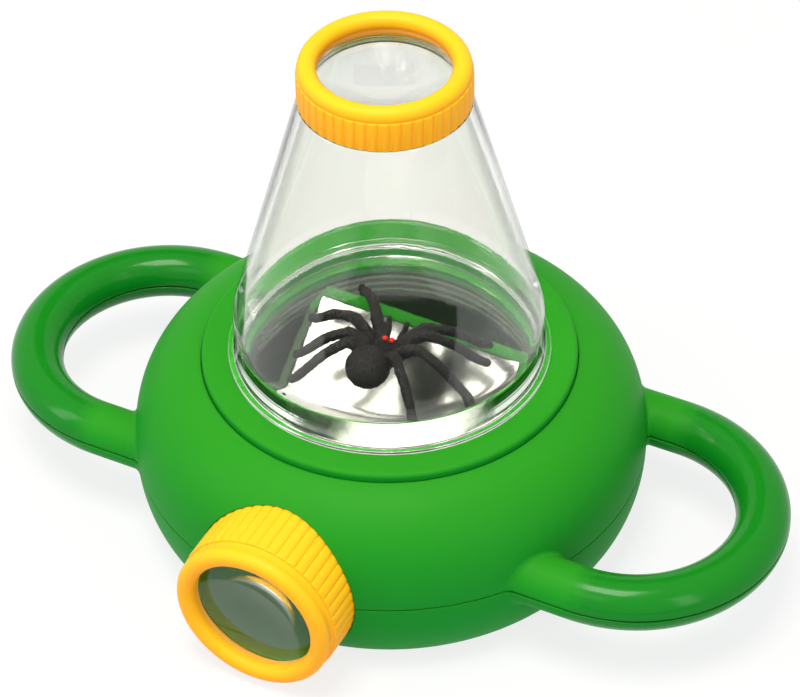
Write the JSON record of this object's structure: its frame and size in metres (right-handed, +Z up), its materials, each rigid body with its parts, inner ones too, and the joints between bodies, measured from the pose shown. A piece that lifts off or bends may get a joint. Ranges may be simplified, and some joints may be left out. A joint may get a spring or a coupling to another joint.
{
  "type": "bug viewer",
  "caption": "Round bug viewer with loop handles, a clear viewing cone under a ribbed eyepiece, and a ribbed side eyepiece that sees the specimen from below in a mirror.",
  "frame": {"origin": "on the table, at the middle of the underside, under the axis of the viewing cone", "axes": "+Z up along the viewing cone; +X from the left handle to the right handle; the side eyepiece looks out along -Y"},
  "size_m": [0.2134, 0.1417, 0.1403],
  "materials": {
    "green": "satin, even leaf green moulding",
    "yellow": "gloss, warm yellow moulding",
    "clear": "clear polystyrene, polished",
    "lens": "clear acrylic lens, polished",
    "mirror": "silvered sheet",
    "steel": "zinc-plated",
    "black": "velvety dark moulding",
    "red": "gloss paint"
  },
  "bodies": {
    "base": {"upper_shell": "green", "lower_shell": "green", "chamber_ring": "green", "specimen_floor": "clear", "side_barrel": "green", "mirror": "mirror", "mirror_frame": "green", "shell_screw_1": "steel", "shell_screw_2": "steel", "shell_screw_3": "steel", "shell_screw_4": "steel", "frame_screw_1": "steel", "frame_screw_2": "steel"},
    "chamber": {"viewing_cone": "clear"},
    "top_lens_cell": {"top_lens": "lens"},
    "top_ring": {"top_eyepiece_ring": "yellow"},
    "side_lens_cell": {"side_lens": "lens"},
    "side_ring": {"side_eyepiece_ring": "yellow"},
    "specimen": {"toy_spider": "black", "toy_spider_eye_right": "red", "toy_spider_eye_left": "red"}
  },
  "joints": [
    {"name": "chamber_lift", "type": "slide", "parent": "base", "child": "chamber", "axis": [0, 0, 1], "range_m": [0, 0.06]},
    {"name": "top_lens_travel", "type": "slide", "parent": "chamber", "child": "top_lens_cell", "axis": [0, 0, 1], "range_m": [0, 0.002]},
    {"name": "top_ring_twist", "type": "hinge", "parent": "top_lens_cell", "child": "top_ring", "pos_m": [0, 0, 0.138], "axis": [0, 0, 1], "range_deg": [0, 360]},
    {"name": "side_lens_travel", "type": "slide", "parent": "base", "child": "side_lens_cell", "axis": [0, -1, 0], "range_m": [0, 0.003]},
    {"name": "side_ring_twist", "type": "hinge", "parent": "side_lens_cell", "child": "side_ring", "pos_m": [0, -0.0742, 0.0225], "axis": [0, -1, 0], "range_deg": [0, 360]},
    {"name": "specimen_lift", "type": "slide", "parent": "base", "child": "specimen", "axis": [0, 0, 1], "range_m": [0, 0.02]}
  ],
  "couplings": [
    {"joint": "top_ring_twist", "follows": "top_lens_travel", "rad_per_m": 3141.5},
    {"joint": "side_ring_twist", "follows": "side_lens_travel", "rad_per_m": 2094.3}
  ]
}
